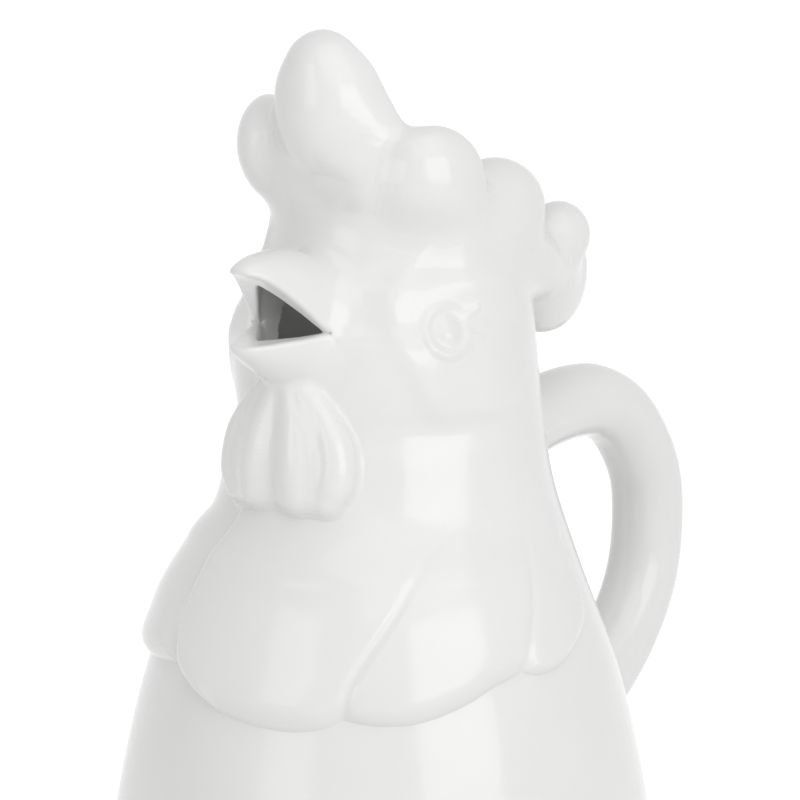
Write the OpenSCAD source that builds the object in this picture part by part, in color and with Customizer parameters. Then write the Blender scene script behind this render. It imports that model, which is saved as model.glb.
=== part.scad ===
// Chicken pitcher: a white glazed jug whose neck is a hen's head with an open beak for a spout.
// The bird looks along -Y and its left side is +X. The foot stands on Z = 0, round the Z axis.
// The jug is built from clay pieces luted together before firing: two round castings that meet
// in a lap under the hackle feathers, a handle, and sprigs for beak, wattles, eyes, comb and hackle.

/* [Vessel] */
// Height from the table to the rim of the fill opening
rim_h = 194; // [184:1:204]
// Diameter of the foot
foot_d = 118; // [110:1:124]
// Largest diameter of the belly
belly_d = 139; // [133:1:145]
// Diameter of the shoulder, halfway up the jug
shoulder_d = 100.6; // [96:0.2:105]
// Diameter of the neck under the head
neck_d = 80.6; // [77:0.2:84]
// Diameter of the head at the height of the eyes
head_d = 74.8; // [72:0.2:77]
// Diameter of the crown that carries the comb
crown_d = 48; // [45:0.5:51]
// Thickness of the clay wall
wall = 5; // [4:0.25:6]
// Thickness of the floor
floor_t = 6; // [5:0.25:8]
// Depth of the rebate where the head casting laps over the belly casting
lap_h = 4; // [3:0.5:5]
// Distance of that joint below the top edge of the hackle, which covers it
seam_drop = 5; // [3:0.5:8]
// Clearance between a piece and the clay that it is luted on
seat_gap = 0.12; // [0.08:0.01:0.2]

/* [Beak] */
// Distance from the middle of the jug to the tip of the beak
beak_reach = 56; // [52:0.5:60]
// Height of the corners of the mouth as a share of the rim's height
mouth_share = 0.858; // [0.84:0.002:0.87]
// Height of the upper tip above the corners of the mouth
upper_rise = 18; // [16:0.5:20]
// Depth of the lower beak below the corners of the mouth
lower_drop = 15.5; // [13:0.5:17]
// Width between the corners of the mouth
mouth_w = 23; // [20:0.5:26]
// Thickness of the beak's wall
beak_wall = 2.6; // [2:0.1:3.2]
// Diameter of the throat, the hole from the head into the beak
throat_d = 15; // [13:0.5:17]

/* [Wattles] */
// Distance from the corners of the mouth down to the lowest point of the wattles
wattle_drop = 47.5; // [45:0.5:50]
// Length of a wattle
wattle_len = 33; // [30:0.5:35]
// Width of the pair of wattles
wattle_w = 38; // [36:0.5:41]
// How far the wattles stand out from the neck
wattle_out = 8; // [7:0.5:10]

/* [Eyes] */
// Height of the middle of the eyes above the corners of the mouth
eye_rise = 3; // [1:0.5:6]
// Angle of an eye, turned sideways from straight ahead
eye_angle = 64; // [60:1:70]
// Width of the eyelid ring
lid_w = 15; // [13:0.5:17]
// Height of the eyelid ring
lid_h = 10.5; // [9:0.5:12]
// Diameter of the eyeball
eyeball_d = 8; // [7:0.25:9]

/* [Comb] */
// Height of the front lobe above the rim
comb_h = 44; // [38:1:48]
// Width between the middles of the side lobes
comb_w = 54; // [50:1:58]
// Distance of the front lobe's middle in front of the jug's axis
comb_front = 22; // [20:0.5:24]
// Distance of the back lobe's middle behind the jug's axis
comb_back = 63; // [58:1:68]
// Diameter of the largest side lobe
lobe_d = 20; // [18:0.5:22]

/* [Hackle] */
// Distance of the hackle's top edge below the lowest point of the wattles
hackle_drop = 2; // [1:0.5:4]
// Length of the hackle from its top edge to its lowest hem
hackle_h = 42; // [38:0.5:46]
// Thickness of a feather at its hem
hem_t = 3; // [2:0.1:3.6]
// Thickness of a feather at its top edge and along its sides
edge_t = 0.9; // [0.7:0.1:1.2]

/* [Handle] */
// Thickness of the handle
handle_d = 19.5; // [17:0.5:22]
// Distance from the jug's axis to the middle of the grip
handle_reach = 118; // [112:1:124]
// Height of the middle of the handle at its top, as a share of the rim's height
handle_top_share = 0.663; // [0.645:0.003:0.681]
// Height of the middle of the handle where it meets the belly, as such a share
handle_low_share = 0.196; // [0.175:0.003:0.217]

/* [Hidden] */

// Sides of a full turn of the vessel, of a round lobe and of the handle
turn_sides = 96;
bore_sides = 32;
small_sides = 8;
lobe_sides = 14;
handle_sides = 20;
full_turn = 360;
// Steps of a smooth curve between two of its points
curve_steps = 5;
handle_steps = 2;
// Thickness of the slices that a loft is made of, and how far a cut runs past what it cuts
slice_t = 0.02;
overrun = 5;

glaze = "whitesmoke";
bisque = "linen";

// Heights that follow from the named sizes
mouth_h = mouth_share * rim_h;
eye_h = mouth_h + eye_rise;
wattle_low = mouth_h - wattle_drop;
hackle_top = wattle_low - hackle_drop;
hackle_low = hackle_top - hackle_h;
seam_h = hackle_top - seam_drop;
handle_top = handle_top_share * rim_h;
handle_low = handle_low_share * rim_h;

// The vessel's named diameters, in order from the foot to the rim
diameters = [foot_d, belly_d, shoulder_d, neck_d, head_d, crown_d];
// Stations of the outline: the first of two neighbouring diameters, the share of the way
// to the second one, and the height as a share of the rim's height
outline_shares = [
    [0, 0.00, 0.000], [0, 0.45, 0.018], [0, 0.86, 0.066], [1, 0.00, 0.124],
    [1, 0.161, 0.237], [1, 0.505, 0.381], [2, 0.00, 0.515], [2, 0.71, 0.629],
    [3, 0.00, 0.722], [3, 0.52, 0.799], [4, 0.00, 0.866], [4, 0.21, 0.907],
    [4, 0.56, 0.934], [4, 0.85, 0.968], [4, 1.00, 1.000]
];

function mix(a, b, share) = a + (b - a) * share;
function spline(a, b, c, d, t) =
    0.5 * (2 * b + (c - a) * t + (2 * a - 5 * b + 4 * c - d) * t * t + (3 * b - a - 3 * c + d) * t * t * t);
function smooth(points, steps) = let (last = len(points) - 1) concat(
    [
        for (i = [0 : last - 1], j = [0 : steps - 1])
            spline(
                points[max(i - 1, 0)], points[i], points[i + 1], points[min(i + 2, last)], j / steps
            )
    ],
    [points[last]]
);

// The outline as radius and height, and the radius of the vessel at any height
outline = smooth(
    [
        for (row = outline_shares)
            [mix(diameters[row[0]], diameters[min(row[0] + 1, 5)], row[1]) / 2, row[2] * rim_h]
    ],
    curve_steps
);
radius_table = [for (p = outline) [p[1], p[0]]];
function radius_at(height) = lookup(height, radius_table);
fill_d = crown_d - 2 * wall;

// A point at an angle from straight ahead, at a distance from the axis and a height
function around(turn, distance, height) = [distance * sin(turn), -distance * cos(turn), height];

// The vessel as one solid, grown all round, for seating what is luted on it
module vessel_form(grow) {
    rotate_extrude($fn = turn_sides)
        polygon(concat(
            [[0, 0]],
            [for (p = outline) [p[0] + grow, p[1]]],
            [[crown_d / 2 + grow, rim_h + grow], [0, rim_h + grow]]
        ));
}

// A string of balls, each a list of place and radius, joined two by two
module string_of_balls(balls, sides) {
    for (i = [0 : len(balls) - 2])
        hull() {
            ball(balls[i], sides);
            ball(balls[i + 1], sides);
        }
}

module ball(place_and_radius, sides) {
    translate(place_and_radius[0])
        sphere(place_and_radius[1], $fn = sides);
}

// Belly casting
module belly() {
    outer = [for (p = outline) if (p[1] < seam_h - lap_h) p];
    inner = [for (i = [len(outer) - 1 : -1 : 0]) if (outer[i][1] > floor_t) outer[i] - [wall, 0]];
    color(glaze)
        rotate_extrude($fn = turn_sides)
            polygon(concat(
                [[0, 0]],
                outer,
                [
                    [radius_at(seam_h - lap_h), seam_h - lap_h],
                    [radius_at(seam_h) - wall / 2, seam_h - lap_h],
                    [radius_at(seam_h) - wall / 2, seam_h],
                    [radius_at(seam_h) - wall, seam_h]
                ],
                inner,
                [[radius_at(floor_t) - wall, floor_t], [0, floor_t]]
            ));
}

// Head casting, with the throat and the fill opening
module head_shell() {
    outer = [for (p = outline) if (p[1] > seam_h && p[1] < rim_h) p];
    inner = [for (i = [len(outer) - 1 : -1 : 0]) outer[i] - [wall, 0]];
    color(glaze)
        difference() {
            rotate_extrude($fn = turn_sides)
                polygon(concat(
                    [
                        [radius_at(seam_h) - wall, seam_h],
                        [radius_at(seam_h) - wall / 2 + seat_gap, seam_h],
                        [radius_at(seam_h) - wall / 2 + seat_gap, seam_h - lap_h],
                        [radius_at(seam_h - lap_h), seam_h - lap_h],
                        [radius_at(seam_h), seam_h]
                    ],
                    outer,
                    [[crown_d / 2, rim_h], [fill_d / 2, rim_h]],
                    inner
                ));
            for (height = [mouth_h, mouth_h + throat_d / 2])
                translate([0, 0, height])
                    rotate([90, 0, 0])
                        cylinder(d = throat_d, h = head_d, $fn = bore_sides);
            translate([-throat_d / 2, -head_d, mouth_h])
                cube([throat_d, head_d, throat_d / 2]);
        }
}

// Beak: each half is a loft of upright slices with the mouth's hollow taken out.
// Slices from the root to the tip: the share of the way from the mouth's corners to the tip,
// the share of the mouth's half width, the share of the rise of the lip and that of the ridge
upper_shares = [
    [-0.75, 1.30, -0.42, 0.99], [-0.30, 1.14, -0.16, 1.07], [0.00, 1.00, 0.00, 1.13],
    [0.25, 0.86, 0.28, 1.18], [0.50, 0.68, 0.55, 1.19], [0.72, 0.48, 0.76, 1.16],
    [0.90, 0.26, 0.90, 1.08], [1.00, 0.08, 0.95, 1.01]
];
lower_shares = [
    [-0.75, 1.30, 0.05, 1.10], [-0.30, 1.14, 0.02, 1.06], [0.00, 1.00, 0.00, 1.00],
    [0.25, 0.90, 0.03, 0.86], [0.50, 0.72, 0.05, 0.68], [0.72, 0.52, 0.07, 0.50],
    [0.90, 0.29, 0.08, 0.30], [1.00, 0.10, 0.09, 0.18]
];
corner_f = sqrt(pow(radius_at(mouth_h), 2) - pow(mouth_w / 2, 2));

// A slice whose flat side lies at the height of the lip and whose round side reaches the ridge
module beak_slice(forward, half_w, lip, ridge) {
    translate([0, -forward, lip])
        rotate([90, 0, 0])
            linear_extrude(slice_t)
                polygon([
                    for (a = [0 : 15 : 180])
                        [half_w * cos(a), (ridge - lip) * sin(a)]
                ]);
}

module beak_loft(shares, rise, thinner) {
    rows = [
        for (row = shares) [
            mix(corner_f, beak_reach, row[0]) - thinner * max(row[0], 0),
            max(row[1] * mouth_w / 2 - thinner, slice_t),
            mouth_h + row[2] * rise - sign(rise) * thinner,
            mouth_h + row[3] * rise - sign(rise) * thinner
        ]
    ];
    for (i = [0 : len(rows) - 2])
        hull() {
            beak_slice(rows[i][0], rows[i][1], rows[i][2], rows[i][3]);
            beak_slice(rows[i + 1][0], rows[i + 1][1], rows[i + 1][2], rows[i + 1][3]);
        }
}

module upper_beak() {
    color(glaze)
        difference() {
            beak_loft(upper_shares, upper_rise, 0);
            beak_loft(upper_shares, upper_rise, beak_wall);
            vessel_form(seat_gap);
        }
}

module lower_beak() {
    color(glaze)
        difference() {
            beak_loft(lower_shares, -lower_drop, 0);
            beak_loft(lower_shares, -lower_drop, beak_wall);
            vessel_form(seat_gap);
        }
}

// Wattle on the bird's left side: a full lobe by the middle and a rib outside it.
// Shares of half the pair's width, of the standing out, of the length, and of the width again
// for the thickness of each ball
wattle_lobe_shares = [
    [0.20, 0.05, 0.95, 0.16], [0.27, 0.14, 0.84, 0.26], [0.34, 0.22, 0.70, 0.35],
    [0.40, 0.28, 0.54, 0.42], [0.43, 0.30, 0.40, 0.45], [0.43, 0.24, 0.29, 0.44]
];
wattle_rib_shares = [
    [0.44, 0.02, 0.88, 0.14], [0.60, 0.00, 0.76, 0.18], [0.72, 0.00, 0.62, 0.22],
    [0.77, 0.00, 0.47, 0.24], [0.73, 0.02, 0.34, 0.26], [0.62, 0.06, 0.24, 0.25]
];

module wattle() {
    function balls(shares) = [
        for (row = shares)
            let (
                side = row[0] * wattle_w / 2,
                height = wattle_low + row[2] * wattle_len,
                neck = sqrt(pow(radius_at(height), 2) - pow(side, 2))
            )
            [[side, -neck - row[1] * wattle_out, height], row[3] * wattle_w / 2]
    ];
    difference() {
        union() {
            string_of_balls(balls(wattle_lobe_shares), lobe_sides);
            string_of_balls(balls(wattle_rib_shares), lobe_sides);
        }
        vessel_form(seat_gap);
        translate([-wattle_w + seat_gap / 2, -head_d, 0])
            cube([wattle_w, head_d, rim_h]);
    }
}

module left_wattle() {
    color(glaze)
        wattle();
}

module right_wattle() {
    color(glaze)
        mirror([1, 0, 0])
            wattle();
}

// Eye on the bird's left side: an almond ring of clay round a domed ball
lid_sides = 12;
lid_t = 2.2;

module eye() {
    distance = radius_at(eye_h);
    function lid_ball(i) = let (a = i * full_turn / lid_sides)
        [
            around(
                eye_angle + asin((lid_w - lid_t) / 2 * cos(a) / distance),
                radius_at(eye_h + (lid_h - lid_t) / 2 * sin(a)),
                eye_h + (lid_h - lid_t) / 2 * sin(a)
            ),
            lid_t / 2
        ];
    difference() {
        union() {
            string_of_balls([for (i = [0 : lid_sides]) lid_ball(i)], small_sides);
            ball([around(eye_angle, distance - eyeball_d / 4, eye_h), eyeball_d / 2], lobe_sides);
        }
        vessel_form(seat_gap);
    }
}

module left_eye() {
    color(glaze)
        eye();
}

module right_eye() {
    color(glaze)
        mirror([1, 0, 0])
            eye();
}

// Comb: lobes round the fill opening. Each ball has a share of half the comb's width, a share
// of the front or back distance, a share of the comb's height above the rim, and a share of
// the largest lobe's radius
front_shares = [
    [0, 0.80, 0.05, 0.95], [0, 0.86, 0.16, 1.14], [0, 0.92, 0.30, 1.30],
    [0, 0.97, 0.45, 1.38], [0, 1.02, 0.61, 1.32], [0, 1.07, 0.75, 1.08]
];
front_side_shares = [[0.44, 0.80, 0.05, 0.80], [0.46, 0.84, 0.20, 0.95], [0.38, 0.90, 0.39, 0.92]];
side_top_shares = [
    [0.85, -0.24, 0.31, 1.00], [1.00, -0.165, 0.26, 0.95], [1.00, 0.03, 0.09, 0.75],
    [1.00, 0.20, 0.02, 0.90], [0.96, 0.35, -0.045, 0.88], [0.89, 0.54, -0.23, 0.70],
    [0.81, 0.73, -0.31, 0.75]
];
side_base_shares = [
    [0.60, -0.29, 0.06, 0.75], [0.78, -0.20, -0.02, 0.80], [0.92, -0.05, -0.11, 0.80],
    [1.02, 0.10, -0.22, 0.80], [1.02, 0.22, -0.31, 0.80], [0.92, 0.38, -0.43, 0.78],
    [0.62, 0.53, -0.53, 0.72]
];
back_tip_shares = [
    [0.22, 0.83, -0.41, 0.75], [0.22, 1.07, -0.57, 0.75], [0.22, 1.04, -0.70, 0.75],
    [0.22, 0.97, -0.80, 0.65]
];
back_root_shares = [
    [0.26, 0.48, -0.27, 0.70], [0.26, 0.52, -0.42, 0.70], [0.26, 0.57, -0.58, 0.65],
    [0.24, 0.59, -0.72, 0.60]
];

function comb_balls(shares) = [
    for (row = shares) [
        [row[0] * comb_w / 2, row[1] * comb_back, rim_h + row[2] * comb_h],
        row[3] * lobe_d / 2
    ]
];
function front_balls(shares) = [
    for (row = shares) [
        [row[0] * comb_w / 2, -row[1] * comb_front, rim_h + row[2] * comb_h],
        row[3] * lobe_d / 2
    ]
];

// Angles from straight ahead where the front lobe and the back lobe meet the side rows
front_angle = 42;
back_angle = 164;
comb_limit = comb_back + comb_w;
// Thickness of the web between two lobes, as a share of the lobe's
web_share = 0.88;

// The room between two angles, from the fill opening outwards, clear of the vessel
module comb_room(from, to) {
    difference() {
        linear_extrude(rim_h + comb_h * 2)
            polygon(concat(
                [[0, 0]],
                [
                    for (i = [0 : 8])
                        let (turn = mix(from, to, i / 8))
                        [comb_limit * sin(turn), -comb_limit * cos(turn)]
                ]
            ));
        vessel_form(seat_gap);
        translate([0, 0, rim_h - overrun])
            cylinder(d = fill_d, h = comb_h * 2, $fn = turn_sides);
    }
}

module both_sides() {
    children();
    mirror([1, 0, 0])
        children();
}

module comb_front() {
    color(glaze)
        intersection() {
            union() {
                string_of_balls(front_balls(front_shares), lobe_sides + 4);
                both_sides()
                    string_of_balls(front_balls(front_side_shares), lobe_sides);
            }
            comb_room(-front_angle, front_angle);
        }
}

// A row of lobes: a rib down from each top, and a thinner web between neighbours
module comb_row() {
    tops = comb_balls(side_top_shares);
    bases = comb_balls(side_base_shares);
    intersection() {
        union() {
            for (i = [0 : len(tops) - 1])
                hull() {
                    ball(tops[i], lobe_sides);
                    ball(bases[i], lobe_sides);
                }
            for (i = [0 : len(tops) - 2])
                hull() {
                    ball([tops[i][0], tops[i][1] * web_share], lobe_sides);
                    ball([tops[i + 1][0], tops[i + 1][1] * web_share], lobe_sides);
                    ball(bases[i], lobe_sides);
                    ball(bases[i + 1], lobe_sides);
                }
        }
        comb_room(front_angle, back_angle);
    }
}

module comb_left() {
    color(glaze)
        comb_row();
}

module comb_right() {
    color(glaze)
        mirror([1, 0, 0])
            comb_row();
}

module comb_back() {
    roots = comb_balls(back_root_shares);
    tips = comb_balls(back_tip_shares);
    color(glaze)
        intersection() {
            both_sides()
                for (i = [0 : len(tips) - 1])
                    hull() {
                        ball(roots[i], lobe_sides);
                        ball(roots[max(i - 1, 0)], lobe_sides);
                        ball(tips[i], lobe_sides);
                        ball(tips[max(i - 1, 0)], lobe_sides);
                    }
            comb_room(back_angle, full_turn - back_angle);
        }
}

// Hackle: feathers side by side round the shoulder, each between two creases. A crease runs
// from the top edge to the hem by angles from straight ahead and shares of the hackle's height
crease_front_left = [[62, 1.00], [52, 0.92], [41, 0.60], [31, 0.26], [28.5, 0.06]];
crease_side_left = [[90, 1.00], [87, 0.86], [82, 0.60], [77, 0.38], [75, 0.24]];
crease_back_left = [[112, 1.00], [110.5, 0.74], [109, 0.55], [105.5, 0.39], [98, 0.29]];
crease_front_right = [[-52, 1.00], [-40, 0.84], [-30, 0.56], [-26, 0.34], [-21, 0.17]];
crease_side_right = [for (row = crease_side_left) [-row[0], row[1]]];
crease_back_right = [for (row = crease_back_left) [-row[0], row[1]]];

// Fullness of a feather from its top edge to its hem, and across it from crease to crease
fullness_shares = [0, 0.30, 0.50, 0.68, 0.82, 0.92, 0.98, 1, 0.5];
feather_steps = 12;

// A closed slab between an outer and an inner grid of points
module slab(outer, inner) {
    rows = len(outer);
    cols = len(outer[0]);
    count = rows * cols;
    function quad(a, b, c, d) = [[a, b, c], [a, c, d]];
    polyhedron(
        points = concat([for (row = outer) each row], [for (row = inner) each row]),
        faces = concat(
            [
                for (i = [0 : rows - 2], j = [0 : cols - 2])
                    let (k = i * cols + j)
                    each quad(k, k + 1, k + cols + 1, k + cols)
            ],
            [
                for (i = [0 : rows - 2], j = [0 : cols - 2])
                    let (k = count + i * cols + j)
                    each quad(k, k + cols, k + cols + 1, k + 1)
            ],
            [
                for (j = [0 : cols - 2], k = [j])
                    each quad(k, k + count, k + count + 1, k + 1)
            ],
            [
                for (j = [0 : cols - 2])
                    let (k = (rows - 1) * cols + j)
                    each quad(k, k + 1, k + count + 1, k + count)
            ],
            [
                for (i = [0 : rows - 2])
                    let (k = i * cols)
                    each quad(k, k + cols, k + cols + count, k + count)
            ],
            [
                for (i = [0 : rows - 2])
                    let (k = i * cols + cols - 1)
                    each quad(k, k + count, k + cols + count, k + cols)
            ]
        )
    );
}

// A feather between two creases, whose hem hangs by a share of the hackle's height in its middle
module feather(from, to, sag_share) {
    steps = (len(fullness_shares) - 1) / (len(from) - 1);
    left = smooth(from, steps);
    right = smooth(to, steps);
    rows = len(fullness_shares);
    // Angle, height and fullness across for row i and cell j
    function place(i, j) = let (
        across = j / feather_steps,
        down = i / (rows - 1),
        hang = (1 - pow(2 * across - 1, 2)) * sag_share * pow(down, 2)
    ) [
        mix(left[i][0], right[i][0], across),
        hackle_low + (mix(left[i][1], right[i][1], across) - hang) * hackle_h,
        1 - pow(2 * across - 1, 4)
    ];
    function at(i, j, thick) = let (p = place(i, j))
        around(p[0], radius_at(p[1]) + seat_gap + thick, p[1]);
    function thickness(i, j) =
        edge_t + (hem_t - edge_t) * fullness_shares[i] * place(i, j)[2];
    slab(
        [for (i = [0 : rows - 1]) [for (j = [0 : feather_steps]) at(i, j, thickness(i, j))]],
        [for (i = [0 : rows - 1]) [for (j = [0 : feather_steps]) at(i, j, 0)]]
    );
}

module hackle_front() {
    color(glaze)
        feather(crease_front_right, crease_front_left, 0.12);
}

module hackle_left_1() {
    color(glaze)
        feather(crease_front_left, crease_side_left, 0.06);
}

module hackle_left_2() {
    color(glaze)
        feather(crease_side_left, crease_back_left, 0.07);
}

module hackle_right_1() {
    color(glaze)
        feather(crease_side_right, crease_front_right, 0.06);
}

module hackle_right_2() {
    color(glaze)
        feather(crease_back_right, crease_side_right, 0.07);
}

// Handle: a round bar swept along a curve behind the jug, seated on the vessel at both ends.
// Its points have a share of the way from the neck's wall to the grip and a share of the way
// from its lower to its upper height, and its two seats have the height alone
handle_shares = [
    [0.10, 0.955], [0.30, 0.99], [0.52, 1.00], [0.70, 0.975], [0.86, 0.895], [0.96, 0.77],
    [1.00, 0.62], [0.985, 0.475], [0.925, 0.345], [0.80, 0.215], [0.62, 0.105], [0.43, 0.025]
];
seat_height_shares = [0.93, -0.02];
// The bar widens a little where it is luted on, and its end faces have rings of these shares
flare_share = 1.12;
cap_shares = [0.33, 0.66, 1];

// A ring of points on the vessel's wall behind the jug, at a height and turning either way
function seat_ring(height, radius, way) = [
    for (j = [0 : handle_sides - 1])
        let (
            turn = j * full_turn / handle_sides,
            side = radius * cos(turn),
            z = height + way * radius * sin(turn)
        )
        [side, sqrt(pow(radius_at(z) + seat_gap, 2) - pow(side, 2)), z]
];

function bar_ring(line, i) = let (
    last = len(line) - 1,
    step = line[min(i + 1, last)] - line[max(i - 1, 0)],
    across = [-step[1], step[0]] / norm(step)
) [
    for (j = [0 : handle_sides - 1])
        let (turn = j * full_turn / handle_sides, lift = handle_d / 2 * sin(turn))
        [handle_d / 2 * cos(turn), line[i][0] + lift * across[0], line[i][1] + lift * across[1]]
];

module handle() {
    line = smooth(
        [
            for (row = handle_shares) [
                mix(radius_at(handle_top), handle_reach, row[0]),
                mix(handle_low, handle_top, row[1])
            ]
        ],
        handle_steps
    );
    seats = [for (share = seat_height_shares) mix(handle_low, handle_top, share)];
    seat_r = handle_d / 2 * flare_share;
    rings = concat(
        [for (share = cap_shares) seat_ring(seats[0], seat_r * share, 1)],
        [for (i = [0 : len(line) - 1]) bar_ring(line, i)],
        [for (i = [len(cap_shares) - 1 : -1 : 0]) seat_ring(seats[1], seat_r * cap_shares[i], -1)]
    );
    last = len(rings) - 1;
    count = len(rings) * handle_sides;
    function next(j) = (j + 1) % handle_sides;
    color(glaze)
        polyhedron(
            points = concat(
                [for (ring = rings) each ring],
                [seat_ring(seats[0], 0, 1)[0], seat_ring(seats[1], 0, -1)[0]]
            ),
            faces = concat(
                [
                    for (i = [0 : last - 1], j = [0 : handle_sides - 1])
                        let (k = i * handle_sides)
                        each [
                            [k + j, k + next(j), k + handle_sides + next(j)],
                            [k + j, k + handle_sides + next(j), k + handle_sides + j]
                        ]
                ],
                [for (j = [0 : handle_sides - 1]) [count, next(j), j]],
                [
                    for (j = [0 : handle_sides - 1])
                        let (k = last * handle_sides)
                        [count + 1, k + j, k + next(j)]
                ]
            )
        );
}

belly();
head_shell();
upper_beak();
lower_beak();
left_wattle();
right_wattle();
left_eye();
right_eye();
comb_front();
comb_left();
comb_right();
comb_back();
hackle_front();
hackle_left_1();
hackle_left_2();
hackle_right_1();
hackle_right_2();
handle();
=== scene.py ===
# Chicken pitcher: the glazed jug over its CAD frame, with studio and camera.
# Lengths inside the shape functions are in mm and turn into metres in the meshes. The bird looks
# along -Y, its left side is +X, and a turn is an angle from straight ahead towards +X.
import math

import bmesh
import bpy
import numpy as np
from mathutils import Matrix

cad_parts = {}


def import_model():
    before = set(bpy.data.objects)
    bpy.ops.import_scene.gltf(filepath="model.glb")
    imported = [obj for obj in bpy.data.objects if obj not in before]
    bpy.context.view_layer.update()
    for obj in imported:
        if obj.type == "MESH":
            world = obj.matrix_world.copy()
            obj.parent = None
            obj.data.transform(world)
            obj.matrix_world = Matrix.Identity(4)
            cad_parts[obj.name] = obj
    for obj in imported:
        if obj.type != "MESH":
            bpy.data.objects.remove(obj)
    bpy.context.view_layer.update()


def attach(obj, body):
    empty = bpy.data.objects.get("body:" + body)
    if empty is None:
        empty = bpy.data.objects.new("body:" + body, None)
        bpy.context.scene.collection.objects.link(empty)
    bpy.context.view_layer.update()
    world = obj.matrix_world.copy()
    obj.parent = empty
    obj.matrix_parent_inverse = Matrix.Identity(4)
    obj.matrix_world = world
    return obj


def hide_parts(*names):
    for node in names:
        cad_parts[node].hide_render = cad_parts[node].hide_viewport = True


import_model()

import openvdb
from mathutils import Matrix

MM = 0.001
# Size of the mesh steps
STEP = 0.6
# Distance that a form has outside the box in which it is worked out
FAR = 12.0
TINY = 1e-6
# Each sprig is a shell on the wall: the shell's thickness, how far it stands out from the wall before
# it counts as its own, how far its rim dips into the wall, and below which stand its rim is trimmed
SKIN, PROUD, SINK, BURIED = 0.8, 0.02, 0.03, 0.12
# How far the comb's skin goes down into the filling mouth, and how far in from the rim that begins
LAP, LAP_IN = 4.0, 1.0

# Vessel: heights of the rim and of the seam of belly and head, radius of the rim, wall and floor
RIM_H, SEAM_H, CROWN_R, WALL, FLOOR_T = 194.0, 110.0, 24.0, 5.0, 6.0
# Roundings of the rim and of the corner between wall and floor
RIM_ROUND, FLOOR_ROUND = 3.0, 6.0
# Outline of the outside: heights and radii from the foot to the rim
OUTLINE = [
    (0.0, 59.0), (3.5, 63.7), (12.8, 68.0), (24.1, 69.49), (46.0, 66.4), (73.9, 59.8), (99.9, 50.3),
    (122.0, 43.2), (140.1, 40.3), (155.0, 38.8), (168.0, 37.4), (176.0, 34.6), (181.2, 29.9),
    (187.8, 26.0), (194.0, 24.0),
]

# Beak: height of the mouth, its half width, how far forward its corners and its tip lie, and how far
# the upper half rises and the lower half drops
MOUTH_H, MOUTH_HALF, CORNER_F, BEAK_F = 166.5, 11.5, 35.6, 56.0
UPPER_RISE, LOWER_DROP = 18.0, 15.5


def spline(points, steps):
    """Points of a Catmull-Rom curve through the given points."""
    q = np.array(points, float)
    q = np.vstack([2 * q[0] - q[1], q, 2 * q[-1] - q[-2]])
    out = []
    for i in range(1, len(q) - 2):
        a, b, c, d = q[i - 1:i + 3]
        for t in np.arange(steps) / steps:
            out.append(0.5 * (2 * b + (c - a) * t + (2 * a - 5 * b + 4 * c - d) * t ** 2
                              + (3 * b - a - 3 * c + d) * t ** 3))
    out.append(q[-2])
    return np.array(out)


def smoothstep(low, high, value):
    """Goes smoothly from 0 to 1 between low and high."""
    t = np.clip((value - low) / (high - low), 0, 1)
    return t * t * (3 - 2 * t)


def smin(a, b, k):
    """The lesser of two distances, which joins two forms with a blending of width k."""
    h = np.maximum(k - np.abs(a - b), 0) / k
    return np.minimum(a, b) - h * h * k * 0.25


def smax(a, b, k):
    """The greater of two distances: what two forms share, with its edge rounded by k."""
    return -smin(-a, -b, k)


def turn_of(p):
    """The turn of each place, in degrees from straight ahead."""
    return np.degrees(np.arctan2(p[:, 0], -p[:, 1]))


def around(turn, distance, height):
    """The place at a turn, a distance from the axis and a height."""
    a = math.radians(turn)
    return np.array([distance * math.sin(a), -distance * math.cos(a), height])


# ---- vessel ---------------------------------------------------------------------------------
outline = spline(OUTLINE, 24)
LINE_Z = np.linspace(0, RIM_H, 2048)
LINE_R = np.interp(LINE_Z, outline[:, 0], outline[:, 1])
LINE_SLOPE = 1 / np.sqrt(1 + np.gradient(LINE_R, LINE_Z) ** 2)
# Front edge of the cheek: height and turn
CHEEK_ARC = spline([(134, 76), (142.5, 64), (155, 54), (165, 46), (174.4, 43), (182, 52),
                    (190, 66)], 12)
# How far the face lies back before the cheeks: height and depth; turns where that begins and is full
FACE = spline([(106, 0.0), (110, 0.0), (116, 2.2), (122, 2.6), (134, 2.8), (141, 3.9), (148, 2.7),
               (155, 1.6), (161, 1.1), (165, 1.9), (169, 2.9), (175, 2.7), (181, 2.0), (185.5, 0.8),
               (190, 0.1), (194, 0.0)], 12)
FACE_TURNS = (108, 60)
# Swellings: how high, then centre and half width in height, then centre and half width in turn
SOCKET = (-1.0, 171, 8, 72, 13)
CROWN = (4.2, 185, 9.5, 83, 26)
# Banks: how high, half width in turn, heights where it sets in and is full, where it fades and is gone
RIDGE = (0.9, 6.5, (140, 150), (180, 190))
CHEEK = (0.9, 24, (141.5, 147), (152, 172))
CHEEK_TURN = 84


def radius(z):
    """The radius of the plain outline at a height."""
    return np.interp(z, LINE_Z, LINE_R)


def swelling(row, turn, z):
    """A soft round swelling of the wall."""
    high, mid_z, half_z, mid_turn, half_turn = row
    return high * np.exp(-((z - mid_z) / half_z) ** 2 - ((turn - mid_turn) / half_turn) ** 2)


def bank(row, away, z):
    """A soft bank along a line, from which each place is so many degrees away."""
    high, half, rises, fades = row
    return high * np.exp(-(away / half) ** 2) * smoothstep(*rises, z) * (1 - smoothstep(*fades, z))


def relief(turn, z):
    """How far the wall stands out from the plain turned outline: crown, cheeks, sockets and face."""
    a = np.abs(turn)
    arc = np.interp(z, CHEEK_ARC[:, 0], CHEEK_ARC[:, 1])
    back = np.interp(z, FACE[:, 0], FACE[:, 1])
    cheek = bank(CHEEK, a - CHEEK_TURN, z) + bank(RIDGE, a - arc, z)
    return swelling(CROWN, a, z) + cheek + swelling(SOCKET, a, z) - back * smoothstep(*FACE_TURNS, a)


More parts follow.
